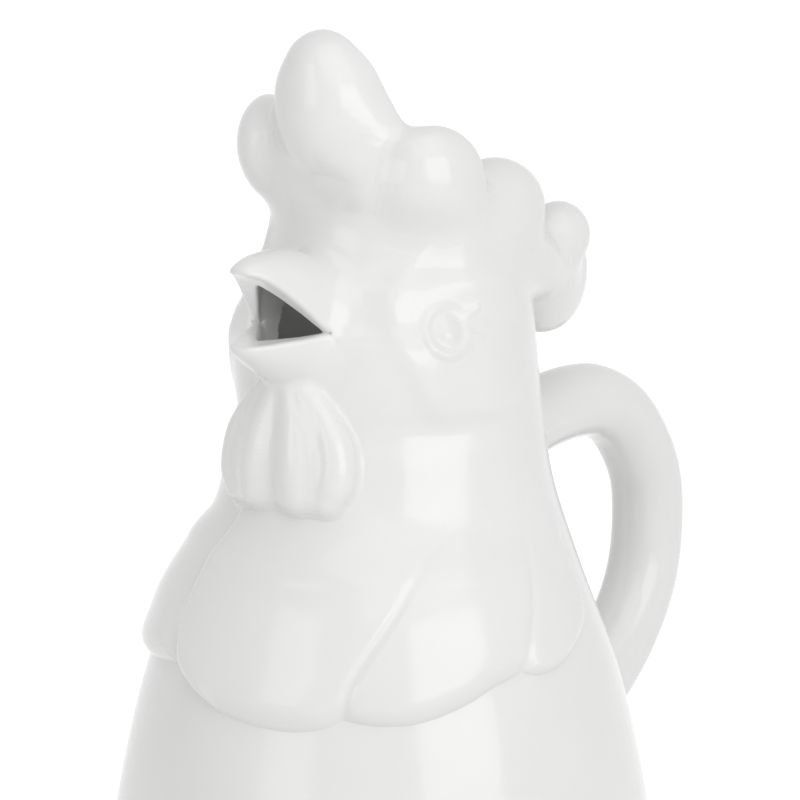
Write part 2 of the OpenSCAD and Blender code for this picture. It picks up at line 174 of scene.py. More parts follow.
def wall_side(p, inset):
    """Distance from the side of the wall, or from a side that lies inset into it."""
    z = p[:, 2]
    out = np.hypot(p[:, 0], p[:, 1]) - radius(z) - relief(turn_of(p), z)
    return (out + inset) * np.interp(z, LINE_Z, LINE_SLOPE)


def wall_out(p):
    """Distance from the outside of the vessel."""
    return smax(wall_side(p, 0.0), p[:, 2] - RIM_H, RIM_ROUND)


def wall_in(p):
    """Distance from the hollow of the vessel."""
    return smax(wall_side(p, WALL), FLOOR_T - p[:, 2], FLOOR_ROUND)


# ---- simple forms ---------------------------------------------------------------------------
def limb(p, a, ra, b, rb):
    """A round bar from place a to place b, with a radius at each end."""
    ab = b - a
    t = np.clip((p - a) @ ab / (ab @ ab), 0, 1)
    away = p - a - t[:, None] * ab
    return np.sqrt((away * away).sum(1)) - (ra + (rb - ra) * t)


def chain(p, rows):
    """Balls as (x, y, z, radius), each joined to the next by a bar."""
    d = np.full(len(p), np.inf)
    for a, b in zip(rows[:-1], rows[1:]):
        d = np.minimum(d, limb(p, a[:3], a[3], b[:3], b[3]))
    return d


def near(p, low, high, form):
    """A form that is only worked out inside a box, and far off elsewhere."""
    d = np.full(len(p), FAR)
    hit = np.all((p > low) & (p < high), axis=1)
    if hit.any():
        d[hit] = form(p[hit])
    return d


def balls(rows, mirror=1):
    """Rows of side, forward, height and radius as places in the model's frame."""
    return [np.array([mirror * s, -f, z, r]) for s, f, z, r in rows]


# ---- comb -----------------------------------------------------------------------------------
# Front lobe and its shoulders: side, forward, height, radius
FRONT = [(0, 17.5, 205.5, 9.5), (0, 17.8, 210.0, 11.4), (0, 19.6, 214.5, 13.2), (0, 19.2, 220.6, 14.3),
         (0, 21.7, 227.2, 10.5)]
FRONT_SIDE = [(7.0, 16.3, 203.4, 7.0), (7.4, 16.7, 207.8, 7.9), (8.2, 15.6, 213.0, 8.8)]
# The comb leans a little to the right: fall in height for each mm to the left
LEAN = 0.03
# Half width of the rounding where its two sides meet in the middle
MIDDLE_ROUND = 2.0
# Lobes: side, forward, height; half lengths along the row, through it and tall; heading, pitch; and
# the blending with the lobes before
EGGS = [
    (23.5, -16.8, 193.1, 14.1, 10.2, 11.4, 180, -19, 4.5),
    (18.7, -49.3, 180.6, 8.8, 7.8, 8.4, 195, -22, 4.5),
    (12.0, -57.2, 167.0, 7.4, 8.0, 12.8, 180, -20, 6.0),
    (4.7, -66.7, 165.8, 7.0, 8.0, 13.6, 180, -20, 9.0),
    (14.0, -48.0, 166.5, 9.2, 8.4, 11.6, 180, -10, 6.0),
    (7.0, -40.0, 176.0, 13.0, 9.0, 11.0, 180, -22, 4.5),
]
# The first lobe on the left and on the right, in the same terms
FIRST = [(24.0, 8.7, 203.9, 12.7, 7.6, 11.2, 157, -32), (24.2, 14.2, 206.2, 13.8, 7.4, 12.0, 157, -18)]
# Band under the lobes, from the front lobe to the nape
BAND = [(12.0, 17.0, 201.0, 6.5), (18.6, 12.5, 199.0, 7.6), (22.8, 5.0, 196.5, 8.2),
        (24.0, -4.0, 191.6, 8.5), (23.6, -13.5, 185.9, 8.8), (22.4, -23.0, 180.9, 8.8),
        (20.6, -33.0, 176.2, 8.4), (16.6, -43.0, 171.6, 8.0), (8.8, -51.0, 167.0, 7.6)]
# Blendings of the shoulders, of the row of lobes with its band, and of both; edge of the filling mouth
SHOULDER_BLEND, BAND_BLEND, ROW_BLEND, MOUTH_EDGE = 6.0, 6.0, 7.0, 3.0


def egg(p, row):
    """A lobe with three half lengths, turned to its heading and tipped by its pitch."""
    s, f, z, along, through, tall, heading, pitch = row[:8]
    h, t = math.radians(heading), math.radians(pitch)
    a = np.array([math.sin(h) * math.cos(t), -math.cos(h) * math.cos(t), math.sin(t)])
    u = np.array([-math.sin(h) * math.sin(t), math.cos(h) * math.sin(t), math.cos(t)])
    q = p - np.array([s, -f, z])
    q = np.stack([q @ a, q @ np.cross(a, u), q @ u], 1)
    half = np.array([along, through, tall])
    k0 = np.sqrt(((q / half) ** 2).sum(1))
    return k0 * (k0 - 1) / np.maximum(np.sqrt(((q / half ** 2) ** 2).sum(1)), TINY)


def fill_mouth(p):
    """Distance from the bore of the filling mouth, which has the rim's inner outline."""
    rim = relief(turn_of(p), np.full(len(p), RIM_H))
    return np.hypot(p[:, 0], p[:, 1]) - CROWN_R + WALL - rim


def comb(p):
    """The front lobe and both rows, which are mirror images but for their first lobes and the lean."""
    q = p.copy()
    q[:, 0] = np.sqrt(q[:, 0] ** 2 + MIDDLE_ROUND ** 2)
    q[:, 2] += LEAN * p[:, 0]
    front, shoulders, band = (chain(q, balls(spline(rows, steps)))
                              for rows, steps in ((FRONT, 8), (FRONT_SIDE, 5), (BAND, 5)))
    row = np.where(p[:, 0] > 0, egg(q, FIRST[0]), egg(q, FIRST[1]))
    for lobe in EGGS:
        row = smin(row, egg(q, lobe), lobe[8])
    d = smin(smin(front, shoulders, SHOULDER_BLEND), smin(row, band, BAND_BLEND), ROW_BLEND)
    return smax(d, -fill_mouth(p), MOUTH_EDGE)


# ---- beak -----------------------------------------------------------------------------------
# Stations of each half: share of the way from the mouth's corners to the tip, then shares of the
# mouth's half width, of the half's rise at the lip and of its rise at the ridge
UPPER = spline([(-0.75, 1.36, -0.42, 0.86), (-0.30, 1.22, -0.16, 0.97), (0.00, 1.06, 0.00, 1.07),
                (0.25, 0.88, 0.28, 1.11), (0.50, 0.68, 0.55, 1.11), (0.72, 0.50, 0.74, 1.08),
                (0.90, 0.34, 0.83, 1.01), (1.00, 0.25, 0.85, 0.94)], 12)
LOWER = spline([(-0.75, 1.36, 0.05, 1.10), (-0.30, 1.22, 0.02, 1.06), (0.00, 1.06, 0.00, 1.00),
                (0.25, 0.90, 0.03, 0.86), (0.50, 0.72, 0.05, 0.68), (0.72, 0.54, 0.07, 0.50),
                (0.90, 0.36, 0.08, 0.32), (1.00, 0.26, 0.09, 0.24)], 12)
# Hollow of the mouth: forward, half width, height of its roof and of its floor
HOLLOW = spline([(-10, 8.0, 180, 161), (20, 8.0, 180, 160), (33, 9.2, 182.6, 155.6),
                 (35.6, 9.3, 183.6, 154.6), (38, 7.8, 184.0, 155.4), (40.7, 5.8, 184.2, 156.6),
                 (43.5, 3.8, 184.0, 158.2), (46, 1.8, 183.0, 160.4), (47, 0.9, 182.0, 162.0)], 12)
HOLLOW_END, HOLLOW_ROUND = 47.5, 2.0
# Roundings of the lips and of the tip, and the least height of a half
LIP_ROUND, TIP_ROUND, THINNEST = 1.4, 2.5, 0.8
# Slopes that make the distances from lip, tip and gap true ones
LIP_SLOPE, TIP_SLOPE, GAPE_SLOPE = 0.85, 0.9, 0.8
# How far the gap between the lips goes on past the mouth's corners
GAPE_PAST = 0.6


def ellipse(u, v, a, b):
    """Distance from an ellipse with half widths a and b, near enough."""
    k0 = np.hypot(u / a, v / b)
    return k0 * (k0 - 1) / np.maximum(np.hypot(u / a ** 2, v / b ** 2), TINY)


def beak_half(p, table, rise):
    """Half of the beak: a ridge over a lip, which drop from the mouth where the rise is negative."""
    f = -p[:, 1]
    t = (f - CORNER_F) / (BEAK_F - CORNER_F)
    half = MOUTH_HALF * np.interp(t, table[:, 0], table[:, 1])
    lip = MOUTH_H + rise * np.interp(t, table[:, 0], table[:, 2])
    tall = np.abs(rise * np.interp(t, table[:, 0], table[:, 3]) + MOUTH_H - lip)
    up = (p[:, 2] - lip) * np.sign(rise)
    d = smax(ellipse(p[:, 0], up, half, np.maximum(tall, THINNEST)), -up * LIP_SLOPE, LIP_ROUND)
    return smax(d, (f - BEAK_F) * TIP_SLOPE, TIP_ROUND)


def hollow(p):
    """The hollow of the mouth, which leads through the wall into the neck."""
    f = -p[:, 1]
    half, roof, floor = (np.interp(f, HOLLOW[:, 0], HOLLOW[:, i]) for i in (1, 2, 3))
    d = ellipse(p[:, 0], p[:, 2] - (roof + floor) / 2, half, (roof - floor) / 2)
    return smax(d, f - HOLLOW_END, HOLLOW_ROUND)


def gape(p):
    """The gap between the two lips, which narrows to the corners of the mouth."""
    f = -p[:, 1]
    t = np.maximum((f - CORNER_F) / (BEAK_F - CORNER_F), 0)
    top = MOUTH_H + UPPER_RISE * np.interp(t, UPPER[:, 0], UPPER[:, 2])
    low = MOUTH_H - LOWER_DROP * np.interp(t, LOWER[:, 0], LOWER[:, 2])
    d = np.maximum(np.maximum(p[:, 2] - top, low - p[:, 2]) * GAPE_SLOPE, CORNER_F - GAPE_PAST - f)
    return np.maximum(d, np.abs(p[:, 0]) - MOUTH_HALF - GAPE_PAST)


# ---- wattles --------------------------------------------------------------------------------
# Side, standing out from the neck, height, radius
LOBE = [(3.0, 0.4, 151.5, 2.6), (4.0, 0.2, 147, 3.8), (4.8, 0.0, 142, 5.0), (5.4, -0.4, 136.8, 6.0),
        (5.8, -0.8, 132, 6.4), (6.0, -1.6, 127.2, 6.2)]
RIB = [(8.4, -0.2, 149.5, 2.8), (11.4, -0.4, 144.4, 3.8), (13.6, -0.6, 139.6, 4.7),
       (14.6, -0.9, 134.6, 5.2), (14.4, -1.1, 130.0, 5.4), (13.0, -1.8, 126.4, 5.2)]
# Fillings of the grooves between lobe and rib, and between the two wattles
WEB = [(5.8, 0.0, 150.9, 2.9), (7.6, -0.2, 146.3, 3.7), (9.2, -0.6, 140.8, 4.35),
       (10.0, -0.9, 135.7, 5.0), (10.1, -1.2, 131.0, 5.2), (9.5, -1.9, 126.8, 5.1)]
MIDDLE = [(0, -0.5, 150.0, 2.0), (0, -1.1, 146.0, 2.8), (0, -2.0, 141.0, 3.5), (0, -2.6, 136.0, 4.0),
          (0, -2.9, 131.0, 4.4), (0, -3.4, 127.0, 4.4)]
# How deep the wattles sit in the wall; blendings of lobe and rib, of the fillings, and of both
WATTLE_SINK, RIB_BLEND, WEB_BLEND, WATTLE_BLEND = 1.0, 2.0, 1.0, 1.2


def wattle(p, mirror):
    """A wattle with two ribs, laid on the round of the neck."""
    def part(rows):
        laid = [(s, math.sqrt(radius(z) ** 2 - s ** 2) - WATTLE_SINK + o, z, r)
                for s, o, z, r in spline(rows, 5)]
        return chain(p, balls(laid, mirror))
    ribs = smin(part(LOBE), part(RIB), RIB_BLEND)
    return smin(ribs, smin(part(WEB), part(MIDDLE), WEB_BLEND), WATTLE_BLEND)


# ---- eyes -----------------------------------------------------------------------------------
EYE_TURN, EYE_H = 65.0, 166.4
# Lid ring: half width, half height and thickness, how deep it sits, and its tilt backward and upward
LID_A, LID_B, LID_T, LID_SINK, LID_TILT = 5.6, 5.5, 1.15, 0.9, (0.085, 0.05)
BALL_R, BALL_SINK, BALL_BLEND = 4.05, 2.5, 1.2
# Folds behind the lids: places backward and upward of both ends; depth and radius at these ends
CORNERS = [((5.8, 3.0), (9.2, 4.6)), ((5.8, 0.8), (10.6, 1.2)), ((5.6, -1.4), (9.2, -2.4))]
CORNER_SINK, CORNER_R, CORNER_BLEND = (0.6, 0.4), (0.75, 0.45), 0.8


def eye(p, mirror):
    """A lid ring with a low domed ball inside and three fine folds behind, laid on the wall."""
    centre = around(mirror * EYE_TURN, float(radius(EYE_H)), EYE_H)
    q = p - centre
    u, v, w = q @ around(mirror * (EYE_TURN + 90), 1, 0), q[:, 2], wall_out(p)
    level = w + LID_SINK + LID_TILT[0] * u + LID_TILT[1] * v
    ring = np.hypot(ellipse(u, v, LID_A, LID_B), level) - LID_T
    ball = np.sqrt(u ** 2 + v ** 2 + (w + BALL_SINK) ** 2) - BALL_R
    d = smin(ring, ball, BALL_BLEND)
    flat = np.stack([u, v, w], 1)
    for ends in CORNERS:
        a, b = (np.array([*end, -sink]) for end, sink in zip(ends, CORNER_SINK))
        d = smin(d, limb(flat, a, CORNER_R[0], b, CORNER_R[1]), CORNER_BLEND)
    return d


# ---- handle ---------------------------------------------------------------------------------
# Centre line of the bar: side, forward, height, radius
BAR_R = 9.75
BAR = spline([(0, -34, 121.0, 11.4), (0, -48, 124.4, 10.6), (0, -60, 126.9, 10.0),
              (0, -70.4, 128.2, BAR_R), (0, -80.8, 128.6, BAR_R), (0, -91, 127.3, BAR_R),
              (0, -101.8, 122.2, BAR_R), (0, -110.1, 113.8, BAR_R), (0, -116.1, 103.5, BAR_R),
              (0, -117.9, 93.2, BAR_R), (0, -117.1, 80.7, BAR_R), (0, -113.4, 70.1, BAR_R),
              (0, -106.4, 60.2, BAR_R), (0, -98.4, 52.5, BAR_R), (0, -88, 45.5, 9.9),
              (0, -76, 40.0, 10.4), (0, -62, 36.6, 11.2), (0, -52, 35.5, 11.6)], 5)
HANDLE_BLEND = 7.0


def handle(p):
    """The loop of the handle, with ends that run on into the wall."""
    return np.minimum(chain(p, balls(BAR)), FAR)


# ---- the whole ------------------------------------------------------------------------------
# Height down to which the filling mouth is bored
BORE_H = 176.0
# What is added to the wall and cut from it, each with the corners of the box in which it is worked out
ADDED = {
    "comb": ((-45, -46, 145), (45, 86, 245), comb),
    "upper": ((-22, -66, 150), (22, -12, 196), lambda q: beak_half(q, UPPER, UPPER_RISE)),
    "lower": ((-22, -66, 140), (22, -12, 182), lambda q: beak_half(q, LOWER, -LOWER_DROP)),
    "left_wattle": ((-10, -64, 108), (30, -28, 160), lambda q: wattle(q, 1)),
    "right_wattle": ((-30, -64, 108), (10, -28, 160), lambda q: wattle(q, -1)),
    "left_eye": ((20, -34, 155), (50, 10, 185), lambda q: eye(q, 1)),
    "right_eye": ((-50, -34, 155), (-20, 10, 185), lambda q: eye(q, -1)),
}
CUT = {
    "gape": ((-24, -70, 146), (24, -28, 200), gape),
    "hollow": ((-14, -60, 148), (14, 20, 192), hollow),
    "bore": ((-28, -28, 172), (28, 28, 245), lambda q: np.maximum(fill_mouth(q), BORE_H - q[:, 2])),
}
# Blendings of the comb, the beak, the wattles and the eyes with the wall, of the two halves of the beak
# and of the two wattles
COMB_BLEND, BEAK_BLEND, THROAT_BLEND, EYE_BLEND = 7.0, 5.0, 2.5, 1.3
LIPS_BLEND, PAIR_BLEND = 0.6, 4.5
# Roundings of the edges of the cuts
GAPE_EDGE, HOLLOW_EDGE, BORE_EDGE = 1.0, 1.2, 0.6


def parts(p, table):
    """The distances from all the forms of a table, by their names."""
    return {name: near(p, low, high, form) for name, (low, high, form) in table.items()}


def head_skin(p):
    """The head with everything on it, as one blended form."""
    part, cut = parts(p, ADDED), parts(p, CUT)
    d = smin(wall_out(p), part["comb"], COMB_BLEND)
    d = smin(d, smin(part["upper"], part["lower"], LIPS_BLEND), BEAK_BLEND)
    d = smax(d, -cut["gape"], GAPE_EDGE)
    d = smin(d, smin(part["left_wattle"], part["right_wattle"], PAIR_BLEND), THROAT_BLEND)
    d = smin(d, np.minimum(part["left_eye"], part["right_eye"]), EYE_BLEND)
    d = smax(d, -cut["hollow"], HOLLOW_EDGE)
    return smax(d, -cut["bore"], BORE_EDGE)


def head_wall(p):
    """The plain head casting with its throat and its filling mouth."""
    d = smax(wall_out(p), -wall_in(p), RIM_ROUND)
    return np.maximum(d, -hollow(p))


def handle_skin(p):
    """The wall with the handle on it, as one blended form."""
    return smin(wall_out(p), handle(p), HANDLE_BLEND)


# ---- from form to mesh ----------------------------------------------------------------------
# Steps to the side of a block, sides of a block within which it counts as near the surface, steps
# beyond which distances are cut off, and how many blocks are worked out at once
COARSE, REACH, BAND_STEPS, BATCH = 4, 1.9, 3, 4096
# Spans over which slopes are measured: while the points are moved, and for the normals
SLOPE_SPAN, NORMAL_SPAN = 0.05, 0.15
# Moves of the points onto the surface, the longest of them in steps, and the least squared slope
MOVES, LONGEST, LEAST_SLOPE = 3, 0.5, 0.2


def polygons(form, low, high, step):
    """The zero surface of a form as points and faces. Only blocks near the surface are worked out."""
    low = np.array(low, float)
    cells = np.ceil((np.array(high) - low) / (step * COARSE)).astype(int)
    axes = [low[i] + step * COARSE * np.arange(cells[i] + 1) for i in range(3)]
    nodes = np.stack(np.meshgrid(*axes, indexing="ij"), -1).reshape(-1, 3)
    far = form(nodes).reshape(cells + 1)
    reach = step * COARSE * REACH
    close = np.zeros(cells, bool)
    for i in (0, 1):
        for j in (0, 1):
            for k in (0, 1):
                corner = far[i:i + cells[0], j:j + cells[1], k:k + cells[2]]
                close |= np.abs(corner) < reach
    band = BAND_STEPS * step
    grid = far[:-1, :-1, :-1]
    for axis in range(3):
        grid = np.repeat(grid, COARSE, axis)
    grid = np.clip(grid, -band, band).astype(np.float32)
    blocks = np.argwhere(close)
    inner = np.stack(np.meshgrid(*[np.arange(COARSE)] * 3, indexing="ij"), -1).reshape(-1, 3)
    for i in range(0, len(blocks), BATCH):
        index = (blocks[i:i + BATCH, None, :] * COARSE + inner[None]).reshape(-1, 3)
        value = np.clip(form(low + index * step), -band, band)
        grid[index[:, 0], index[:, 1], index[:, 2]] = value
    volume = openvdb.FloatGrid(band)
    volume.copyFromArray(grid)
    points, triangles, quads = volume.convertToPolygons(isovalue=0.0)
    faces = [tuple(q) for q in quads.tolist()] + [tuple(t) for t in triangles.tolist()]
    return low + points.astype(float) * step, faces


def gradient(form, points, span):
    """The slope of a form's distance at each point."""
    g = np.empty_like(points)
    for i in range(3):
        d = np.zeros(3)
        d[i] = span
        g[:, i] = (form(points + d) - form(points - d)) / (2 * span)
    return g


def normals_of(form, points):
    g = gradient(form, points, NORMAL_SPAN)
    return g / np.maximum(np.linalg.norm(g, axis=1), TINY)[:, None]


def settle(form, points, step):
    """Moves points onto the zero surface, and returns them with the surface's normals."""
    for _ in range(MOVES):
        g = gradient(form, points, SLOPE_SPAN)
        size = np.maximum((g * g).sum(1), LEAST_SLOPE)
        move = np.clip(form(points) / size, -LONGEST * step, LONGEST * step)
        points = points - g * move[:, None]
    return points, normals_of(form, points)


def add_mesh(name, points, faces, material, normals=None):
    """A smooth piece of the jug, in metres, that rides on the body root."""
    mesh = bpy.data.meshes.new(name)
    mesh.from_pydata([tuple(q) for q in np.asarray(points) * MM], [], faces)
    mesh.validate(clean_customdata=False)
    mesh.update()
    mesh.polygons.foreach_set("use_smooth", [True] * len(mesh.polygons))
    if normals is not None:
        mesh.normals_split_custom_set_from_vertices([tuple(n) for n in normals])
    mesh.materials.append(material)
    piece = bpy.data.objects.new(name, mesh)
    bpy.context.scene.collection.objects.link(piece)
    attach(piece, "root")
    return piece


def rim_of(faces):
    """The edges that only one face has, in that face's order."""
    edges = dict.fromkeys((a, b) for f in faces for a, b in zip(f, f[1:] + f[:1]))
    return [(a, b) for a, b in edges if (b, a) not in edges]


def clean(faces, buried):
    """Drops faces at the buried rim that hang on by a corner only, so that it is one plain line."""
    while True:
        rim = {}
        for a, b in rim_of(faces):
            rim[a] = rim.get(a, 0) + 1
        bad = {v for v, n in rim.items() if n > 1}
        kept = [f for f in faces if not (any(v in bad for v in f) and all(buried[v] for v in f))]
        if len(kept) == len(faces):
            return faces
        faces = kept


def closed_skin(name, points, normals, faces, buried, material):
    """A closed shell: the given faces, their copy a little further in, and a strip round the rim."""
    faces = clean(faces, buried)
    used = sorted({i for f in faces for i in f})
    place = {old: new for new, old in enumerate(used)}
    faces = [tuple(place[i] for i in f) for f in faces]
    n = len(used)
    outer, out_n = points[used], normals[used]
    back = [tuple(i + n for i in reversed(f)) for f in faces]
    strip = [(a, b, b + n, a + n) for b, a in rim_of(faces)]
    return add_mesh(name, np.vstack([outer, outer - out_n * SKIN]), faces + back + strip, material,
                    np.vstack([out_n, -out_n]))


# ---- materials ------------------------------------------------------------------------------
# Tones as the darker and the lighter end of a ramp
GLAZE_TONES = (0.80, 0.80, 0.79, 1), (0.83, 0.83, 0.825, 1)
CLAY_TONES = (0.62, 0.57, 0.49, 1), (0.70, 0.65, 0.57, 1)
FLOOR_TONES = (0.93, 0.93, 0.93, 1), (0.95, 0.95, 0.95, 1)
WHITE = (1, 1, 1, 1)
GLAZE_IOR, GLAZE_ROUGHNESS, CLAY_ROUGHNESS = 1.5, (0.13, 0.18), 0.75
# Heights in metres below which the clay is bare, and above which the glaze is full
BARE_H, GLAZED_H = 0.0005, 0.0009
# Blender's numbers for the sockets of a Mix node: A, B and the result, for floats and for colours
MIX_SOCKETS = {"FLOAT": (2, 3, 0), "RGBA": (6, 7, 2)}


def node(tree, kind, **values):
    """A new node with the given settings, or given values at its inputs."""
    made = tree.nodes.new(kind)
    for key, value in values.items():
        if hasattr(made, key):
            setattr(made, key, value)
        else:
            made.inputs[key].default_value = value
    return made


def noise(tree, place, scale, detail, **values):
    """The value of a noise laid over the object."""
    made = node(tree, "ShaderNodeTexNoise", **{"Scale": scale, "Detail": detail}, **values)
    tree.links.new(place.outputs["Object"], made.inputs["Vector"])
    return made.outputs["Fac"]


def ramp(tree, value, tones, ends=(0.0, 1.0)):
    """A tone between two, which lie at the given ends of the value."""
    made = node(tree, "ShaderNodeValToRGB")
    for element, tone, end in zip(made.color_ramp.elements, tones, ends):
        element.color = tone
        element.position = end
    tree.links.new(value, made.inputs["Fac"])
    return made.outputs["Color"]


def mix(tree, kind, factor, a, b):
    """A mixture of a and b, where b may be a plain number."""
    made = node(tree, "ShaderNodeMix", data_type=kind)
    at_a, at_b, at_result = MIX_SOCKETS[kind]
    tree.links.new(factor, made.inputs[0])
    tree.links.new(a, made.inputs[at_a])
    if isinstance(b, float):
        made.inputs[at_b].default_value = b
    else:
        tree.links.new(b, made.inputs[at_b])
    return made.outputs[at_result]


def new_material(name):
    """A new material with its node tree and its shader."""
    material = bpy.data.materials.new(name)
    material.use_nodes = True
    return material, material.node_tree, material.node_tree.nodes["Principled BSDF"]


def glaze_material():
    """White glaze, faintly uneven in tone, gloss and surface, over clay that is bare at the foot."""
    material, tree, shader = new_material("white_glaze")
    link = tree.links.new
    shader.inputs["IOR"].default_value = GLAZE_IOR
    shader.inputs["Coat Weight"].default_value = 0.0
    place = node(tree, "ShaderNodeTexCoord")
    cloud = noise(tree, place, scale=22.0, detail=3.0, Roughness=0.55)
    tone = ramp(tree, cloud, GLAZE_TONES, (0.3, 0.7))
    clay = ramp(tree, noise(tree, place, scale=900.0, detail=3.0), CLAY_TONES)
    gloss = node(tree, "ShaderNodeMapRange", **{
        "From Min": 0.3, "From Max": 0.7, "To Min": GLAZE_ROUGHNESS[0], "To Max": GLAZE_ROUGHNESS[1]})
    link(noise(tree, place, scale=400.0, detail=2.0), gloss.inputs["Value"])
    # The ring that the jug stands on is wiped clean of glaze and shows the matt clay
    height = node(tree, "ShaderNodeSeparateXYZ")
    link(place.outputs["Object"], height.inputs[0])
    bare = node(tree, "ShaderNodeMapRange", **{"From Min": GLAZED_H, "From Max": BARE_H})
    link(height.outputs["Z"], bare.inputs["Value"])
    bare = bare.outputs["Result"]
    link(mix(tree, "RGBA", bare, tone, clay), shader.inputs["Base Color"])
    link(mix(tree, "FLOAT", bare, gloss.outputs["Result"], CLAY_ROUGHNESS), shader.inputs["Roughness"])
    wave = node(tree, "ShaderNodeBump", **{"Strength": 0.08, "Distance": 0.0008})
    link(noise(tree, place, scale=60.0, detail=1.0), wave.inputs["Height"])
    link(wave.outputs["Normal"], shader.inputs["Normal"])
    return material


glaze = glaze_material()


# ---- pieces ---------------------------------------------------------------------------------
# Corners of the boxes in which the surfaces are sought
HEAD_BOX = ((-42, -62, 104), (42, 82, 242))
SHELL_BOX = ((-50, -50, 106), (50, 50, 198))
HANDLE_BOX = ((-16, 28, 14), (16, 132, 146))
# Belly: steps of its outer and inner outline, parts of a full turn, and the angle of a sharp edge
OUTER_STEPS, INNER_STEPS, TURN_PARTS, SHARP = 84, 60, 256, 35.0
# Radius and height along the underside: its recess, then the foot ring up to where the outline goes on
UNDERSIDE = [(0, 1.2), (40, 1.2), (54, 1.2), (56.5, 0.9), (57.6, 0.2), (58.4, 0.0)]
OUTLINE_H = 0.8
# Fillet between wall and floor: height over the floor, then how far in from the wall and how high over
# the floor its places lie. Radii of the rings on the floor
FILLET_H, FILLET, FLOOR_RINGS = 4, [(1.2, 1.2), (4.5, 0)], (30, 0)


def belly():
    """Belly casting: its closed outline turned round the axis."""
    outer = [(float(radius(z)), z) for z in np.linspace(0, SEAM_H, OUTER_STEPS) if z > OUTLINE_H]
    inner = [(float(radius(z)) - WALL, z) for z in np.linspace(SEAM_H, FLOOR_T + FILLET_H, INNER_STEPS)]
    fillet = [(inner[-1][0] - r, FLOOR_T + z) for r, z in FILLET]
    profile = UNDERSIDE + outer + inner + fillet + [(r, FLOOR_T) for r in FLOOR_RINGS]
    points, faces, index = [], [], []
    for r, z in profile:
        if r == 0:
            index.append([len(points)] * TURN_PARTS)
            points.append((0, 0, z))
        else:
            index.append(list(range(len(points), len(points) + TURN_PARTS)))
            for j in range(TURN_PARTS):
                a = 2 * math.pi * j / TURN_PARTS
                points.append((r * math.cos(a), r * math.sin(a), z))
    for lower, upper in zip(index[:-1], index[1:]):
        for j in range(TURN_PARTS):
            k = (j + 1) % TURN_PARTS
            face = [lower[j], lower[k], upper[k], upper[j]]
            face = [v for n, v in enumerate(face) if v not in face[:n]]
            faces.append(tuple(face))
    piece = add_mesh("belly_glazed", np.array(points, float), faces, glaze)
    piece.data.set_sharp_from_angle(angle=math.radians(SHARP))
    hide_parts("belly")


def cut_level(points, faces, height):
    """The part of a mesh above a height, with its cut faces closed."""
    mesh = bmesh.new()
    made = [mesh.verts.new(q) for q in points]
    for f in faces:
        mesh.faces.new([made[i] for i in f])
    everything = mesh.verts[:] + mesh.edges[:] + mesh.faces[:]
    cut = bmesh.ops.bisect_plane(mesh, geom=everything, plane_co=(0, 0, height), plane_no=(0, 0, 1),
                                 clear_inner=True)["geom_cut"]
    rim = [e for e in cut if isinstance(e, bmesh.types.BMEdge)]
    bmesh.ops.triangle_fill(mesh, edges=rim, use_beauty=True, normal=(0, 0, -1))
    mesh.verts.index_update()
    points = np.array([v.co[:] for v in mesh.verts])
    faces = [tuple(v.index for v in f.verts) for f in mesh.faces]
    mesh.free()
    return points, faces


def head_shell():
    """Neck and skull casting, cut level at the seam."""
    points, faces = polygons(head_wall, *SHELL_BOX, STEP)
    points, _ = settle(head_wall, points, STEP)
    points, faces = cut_level(points, faces, SEAM_H)
    piece = add_mesh("head_shell_glazed", points, faces, glaze, normals_of(head_wall, points))
    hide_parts("head_shell")


# Turns at which the comb's front lobe ends and its back lobe begins
COMB_TURNS = (42, 164)
SPRIGS = ["comb_front", "comb_left", "comb_right", "comb_back", "upper_beak", "lower_beak",
          "left_wattle", "right_wattle", "left_eye", "right_eye"]


def sprig_of(points):
    """For each point the number of the sprig that it is nearest to, in the order of SPRIGS."""
    part = parts(points, ADDED)
    turn = np.abs(turn_of(points))
    side = np.where(points[:, 0] >= 0, 0, 1)
    kind = np.stack([part["comb"], part["upper"], part["lower"],
                     np.minimum(part["left_wattle"], part["right_wattle"]),
                     np.minimum(part["left_eye"], part["right_eye"])], 1).argmin(1)
    lobe = np.where(turn < COMB_TURNS[0], 0, np.where(turn > COMB_TURNS[1], 3, 1 + side))
    return np.choose(kind, [lobe, 4, 5, 6 + side, 8 + side])


def head_sprigs():
    """Comb, beak, wattles and eyes, cut out of the one blended skin of the head."""
    points, faces = polygons(head_skin, *HEAD_BOX, STEP)
    points, normals = settle(head_skin, points, STEP)
    stand = wall_out(points)
    # The comb's skin goes on down into the filling mouth, over the edge of the shell's rim
    in_mouth = np.hypot(points[:, 0], points[:, 1]) < CROWN_R - LAP_IN
    proud = (stand > PROUD) | in_mouth & (points[:, 2] > RIM_H - LAP)
    points[~proud] -= normals[~proud] * SINK
    sprig = sprig_of(points)
    groups = [[] for name in SPRIGS]
    for f in faces:
        if any(proud[i] for i in f):
            groups[sprig[f[0]]].append(f)
    for name, group in zip(SPRIGS, groups):
        piece = closed_skin(name + "_glazed", points, normals, group, stand < BURIED, glaze)
        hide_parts(name)


def handle_piece():
    """The handle, cut out of its blended skin with the wall."""
    points, faces = polygons(handle_skin, *HANDLE_BOX, STEP)
    points, normals = settle(handle_skin, points, STEP)
    proud = wall_out(points) > PROUD
    points[~proud] -= normals[~proud] * SINK
    group = [f for f in faces if any(proud[i] for i in f)]
    piece = closed_skin("handle_glazed", points, normals, group, wall_out(points) < BURIED, glaze)
    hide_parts("handle")


